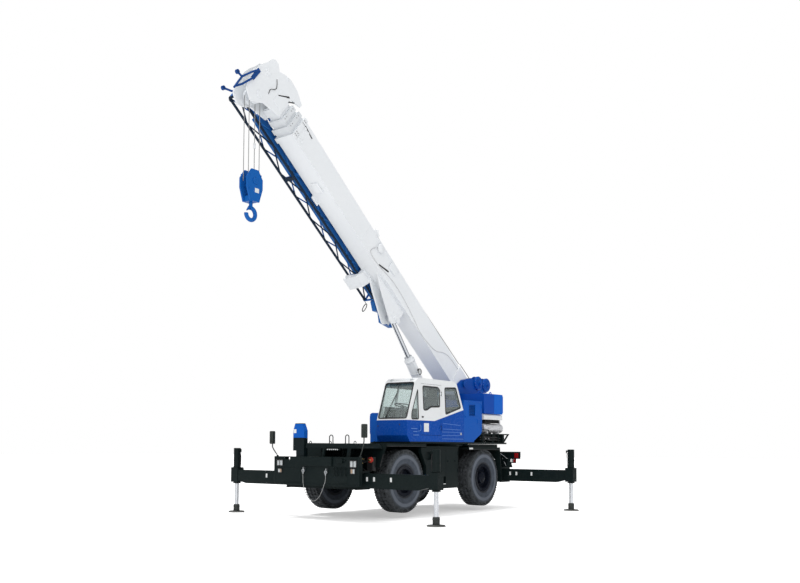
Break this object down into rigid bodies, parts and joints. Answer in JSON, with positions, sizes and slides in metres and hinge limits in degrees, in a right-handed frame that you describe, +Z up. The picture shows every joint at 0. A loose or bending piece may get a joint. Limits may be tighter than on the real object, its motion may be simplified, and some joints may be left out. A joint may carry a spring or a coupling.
{
  "type": "rough-terrain mobile crane",
  "caption": "Two-axle rough-terrain crane on extended outriggers, raised telescopic boom with stowed jib and a hook block on rope falls.",
  "frame": {"origin": "on the ground under the middle of the box over everything, outriggers out", "axes": "+X forward, +Y to the operator's left, +Z up"},
  "size_m": [10.0015, 6.7, 10.1106],
  "materials": {
    "black_paint": "satin black chassis paint",
    "white_paint": "glossy white boom and cab paint",
    "blue_paint": "glossy blue body paint",
    "steel": "bare and galvanised steel",
    "chrome_rod": "ground and chromed rod",
    "tyre": "grey-black rubber with dusty lugs",
    "rim_paint": "satin black wheel paint",
    "glass": "green-tinted safety glass",
    "lamp": "clear and coloured lamp lenses",
    "interior": "dark grey cab trim",
    "dark_machine": "dark grey machinery enamel"
  },
  "bodies": {
    "carrier": {"carrier_frame": "black_paint", "carrier_deck": "black_paint", "side_boxes": "black_paint", "front_axle": "dark_machine", "rear_axle": "dark_machine", "carrier_lamps": "lamp", "mirrors": "black_paint", "boom_rest": "black_paint", "tow_shackles": "steel", "tie_rope": "steel", "front_bumper": "black_paint", "front_deck": "black_paint", "fenders": "black_paint", "rear_lamp_bars": "black_paint"},
    "knuckle_fl_body": {"knuckle_fl": "dark_machine"},
    "wheel_fl": {"tyre_fl": "tyre", "rim_fl": "rim_paint"},
    "outrigger_fl": {"beam_fl": "black_paint"},
    "jack_fl_body": {"jack_fl": "chrome_rod"},
    "knuckle_fr_body": {"knuckle_fr": "dark_machine"},
    "wheel_fr": {"tyre_fr": "tyre", "rim_fr": "rim_paint"},
    "outrigger_fr": {"beam_fr": "black_paint"},
    "jack_fr_body": {"jack_fr": "chrome_rod"},
    "knuckle_rl_body": {"knuckle_rl": "dark_machine"},
    "wheel_rl": {"tyre_rl": "tyre", "rim_rl": "rim_paint"},
    "outrigger_rl": {"beam_rl": "black_paint"},
    "jack_rl_body": {"jack_rl": "chrome_rod"},
    "knuckle_rr_body": {"knuckle_rr": "dark_machine"},
    "wheel_rr": {"tyre_rr": "tyre", "rim_rr": "rim_paint"},
    "outrigger_rr": {"beam_rr": "black_paint"},
    "jack_rr_body": {"jack_rr": "chrome_rod"},
    "superstructure": {"upper_frame": "black_paint", "upper_housing": "blue_paint", "engine": "dark_machine", "counterweight": "blue_paint", "cab_shell": "white_paint", "cab_glass": "glass", "cab_interior": "interior", "engine_grille": "black_paint", "engine_hood": "white_paint", "silencer": "steel", "rear_rack": "black_paint"},
    "door": {"cab_door": "white_paint", "door_glass": "glass"},
    "main_winch": {"main_winch_drum": "blue_paint"},
    "aux_winch": {"aux_winch_drum": "blue_paint"},
    "boom": {"boom_base": "white_paint", "jib": "blue_paint"},
    "second_section": {"boom_second": "white_paint"},
    "third_section": {"boom_third": "white_paint"},
    "top_section": {"boom_top": "white_paint", "jib_fork": "blue_paint"},
    "cylinder_barrel": {"luff_barrel": "white_paint"},
    "cylinder_rod": {"luff_rod": "chrome_rod"},
    "hook": {"hook_block": "blue_paint", "rope_falls": "steel"}
  },
  "joints": [
    {"name": "steer_fl", "type": "hinge", "parent": "carrier", "child": "knuckle_fl_body", "pos_m": [0.36164, 0.735, 0.8655], "axis": [0, 0, 1], "range_deg": [-36, 36]},
    {"name": "wheel_fl_spin", "type": "hinge", "parent": "knuckle_fl_body", "child": "wheel_fl", "pos_m": [0.36164, 1.085, 0.8655], "axis": [0, 1, 0], "continuous": true},
    {"name": "beam_fl_slide", "type": "slide", "parent": "carrier", "child": "outrigger_fl", "axis": [0, -1, 0], "range_m": [0, 1.94]},
    {"name": "jack_fl_slide", "type": "slide", "parent": "outrigger_fl", "child": "jack_fl_body", "axis": [0, 0, 1], "range_m": [0, 0.42]},
    {"name": "steer_fr", "type": "hinge", "parent": "carrier", "child": "knuckle_fr_body", "pos_m": [0.36164, -0.735, 0.8655], "axis": [0, 0, 1], "range_deg": [-36, 36]},
    {"name": "wheel_fr_spin", "type": "hinge", "parent": "knuckle_fr_body", "child": "wheel_fr", "pos_m": [0.36164, -1.085, 0.8655], "axis": [0, 1, 0], "continuous": true},
    {"name": "beam_fr_slide", "type": "slide", "parent": "carrier", "child": "outrigger_fr", "axis": [0, 1, 0], "range_m": [0, 1.94]},
    {"name": "jack_fr_slide", "type": "slide", "parent": "outrigger_fr", "child": "jack_fr_body", "axis": [0, 0, 1], "range_m": [0, 0.42]},
    {"name": "steer_rl", "type": "hinge", "parent": "carrier", "child": "knuckle_rl_body", "pos_m": [-3.13836, 0.735, 0.8655], "axis": [0, 0, 1], "range_deg": [-36, 36]},
    {"name": "wheel_rl_spin", "type": "hinge", "parent": "knuckle_rl_body", "child": "wheel_rl", "pos_m": [-3.13836, 1.085, 0.8655], "axis": [0, 1, 0], "continuous": true},
    {"name": "beam_rl_slide", "type": "slide", "parent": "carrier", "child": "outrigger_rl", "axis": [0, -1, 0], "range_m": [0, 1.94]},
    {"name": "jack_rl_slide", "type": "slide", "parent": "outrigger_rl", "child": "jack_rl_body", "axis": [0, 0, 1], "range_m": [0, 0.42]},
    {"name": "steer_rr", "type": "hinge", "parent": "carrier", "child": "knuckle_rr_body", "pos_m": [-3.13836, -0.735, 0.8655], "axis": [0, 0, 1], "range_deg": [-36, 36]},
    {"name": "wheel_rr_spin", "type": "hinge", "parent": "knuckle_rr_body", "child": "wheel_rr", "pos_m": [-3.13836, -1.085, 0.8655], "axis": [0, 1, 0], "continuous": true},
    {"name": "beam_rr_slide", "type": "slide", "parent": "carrier", "child": "outrigger_rr", "axis": [0, 1, 0], "range_m": [0, 1.94]},
    {"name": "jack_rr_slide", "type": "slide", "parent": "outrigger_rr", "child": "jack_rr_body", "axis": [0, 0, 1], "range_m": [0, 0.42]},
    {"name": "slewing", "type": "hinge", "parent": "carrier", "child": "superstructure", "pos_m": [-1.82036, 0, 1.705], "axis": [0, 0, 1], "continuous": true},
    {"name": "cab_door_hinge", "type": "hinge", "parent": "superstructure", "child": "door", "pos_m": [-1.15036, 1.29, 2.5], "axis": [0, 0, 1], "range_deg": [0, 80]},
    {"name": "main_winch_spin", "type": "hinge", "parent": "superstructure", "child": "main_winch", "pos_m": [-4.32036, 0, 3.49], "axis": [0, 1, 0], "continuous": true},
    {"name": "aux_winch_spin", "type": "hinge", "parent": "superstructure", "child": "aux_winch", "pos_m": [-4.75536, 0, 3.46], "axis": [0, 1, 0], "continuous": true},
    {"name": "luffing", "type": "hinge", "parent": "superstructure", "child": "boom", "pos_m": [-3.62036, 0, 3.42], "axis": [0, -1, 0], "range_deg": [-39, 43]},
    {"name": "telescope_second", "type": "slide", "parent": "boom", "child": "second_section", "axis": [0.7771, 0, 0.6293], "range_m": [0, 7]},
    {"name": "telescope_third", "type": "slide", "parent": "second_section", "child": "third_section", "axis": [0.7771, 0, 0.6293], "range_m": [0, 7]},
    {"name": "telescope_top", "type": "slide", "parent": "third_section", "child": "top_section", "axis": [0.7771, 0, 0.6293], "range_m": [0, 7]},
    {"name": "cylinder_pivot", "type": "hinge", "parent": "superstructure", "child": "cylinder_barrel", "pos_m": [-3.03736, 0, 2.045], "axis": [0, -1, 0], "range_deg": [-32.09, 35.33]},
    {"name": "cylinder_stroke", "type": "slide", "parent": "cylinder_barrel", "child": "cylinder_rod", "axis": [0.6238, 0, 0.7816], "range_m": [-0.9357, 1.0307]},
    {"name": "hook_swing", "type": "hinge", "parent": "top_section", "child": "hook", "pos_m": [4.23224, 0, 9.19986], "axis": [0, -1, 0], "range_deg": [-43.5, 39.5]}
  ],
  "couplings": [
    {"joint": "steer_fr", "follows": "steer_fl", "ratio": 1},
    {"joint": "steer_rr", "follows": "steer_rl", "ratio": 1},
    {"joint": "telescope_third", "follows": "telescope_second", "ratio": 1},
    {"joint": "telescope_top", "follows": "telescope_second", "ratio": 1},
    {"joint": "cylinder_pivot", "follows": "luffing", "ratio": 0.81},
    {"joint": "cylinder_stroke", "follows": "luffing", "m_per_rad": 1.36},
    {"joint": "hook_swing", "follows": "luffing", "ratio": -1}
  ]
}
